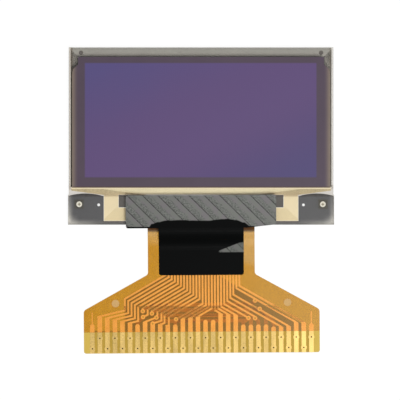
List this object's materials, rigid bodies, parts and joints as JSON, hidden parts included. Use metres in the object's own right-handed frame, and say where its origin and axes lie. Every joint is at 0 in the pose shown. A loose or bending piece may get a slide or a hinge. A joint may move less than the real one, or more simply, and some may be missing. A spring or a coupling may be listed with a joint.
{
  "type": "small OLED display panel with flexible tail",
  "caption": "bare oblong glass OLED panel with dark polarizer, rear cover glass, black tape over its ledge and an amber flexible tail that widens to a row of gold contacts",
  "frame": {"origin": "centre of the rear cover glass's rear face, where the panel rests", "axes": "+X to the right of the screen, +Y to the top of the screen, +Z out of the screen"},
  "size_m": [0.0344, 0.0399, 0.0014],
  "materials": {
    "display_glass": "clear, ground edges",
    "cover_glass": "clear, etched pocket",
    "sealant": "cured glue line",
    "emitter": "thin film stack",
    "cathode_metal": "mirror-like evaporated film",
    "absorber": "matt white sheet",
    "polarizer": "dark violet film, satin",
    "mark_metal": "dark film",
    "panel_metal": "dark grey film",
    "lead_metal": "fine lead pattern, grey",
    "coating": "cream protective coating",
    "silicon": "ground bare silicon",
    "bond_film": "cured conductive film",
    "polyimide_base": "amber film",
    "polyimide_cover": "amber film over a thin glue layer",
    "copper": "rolled copper, satin",
    "gold": "thin soft gold",
    "black_tape": "black polyester tape"
  },
  "bodies": {
    "root": {"front_glass": "display_glass", "cover_glass": "cover_glass", "glass_seal": "sealant", "emitter_layers": "emitter", "cathode_film": "cathode_metal", "moisture_absorber": "absorber", "polarizer": "polarizer", "top_marks": "mark_metal", "left_metal_panel": "panel_metal", "right_metal_panel": "panel_metal", "lead_field": "lead_metal", "ledge_coating": "coating", "driver_chip": "silicon", "chip_bond_film": "bond_film", "tail_bond_film": "bond_film", "tail_base_film": "polyimide_base", "front_traces": "copper", "rear_traces": "copper", "front_cover_film": "polyimide_cover", "rear_cover_film": "polyimide_cover", "front_contact_gold": "gold", "rear_contact_gold": "gold", "hole_plating": "gold", "ledge_tape": "black_tape"}
  },
  "joints": []
}
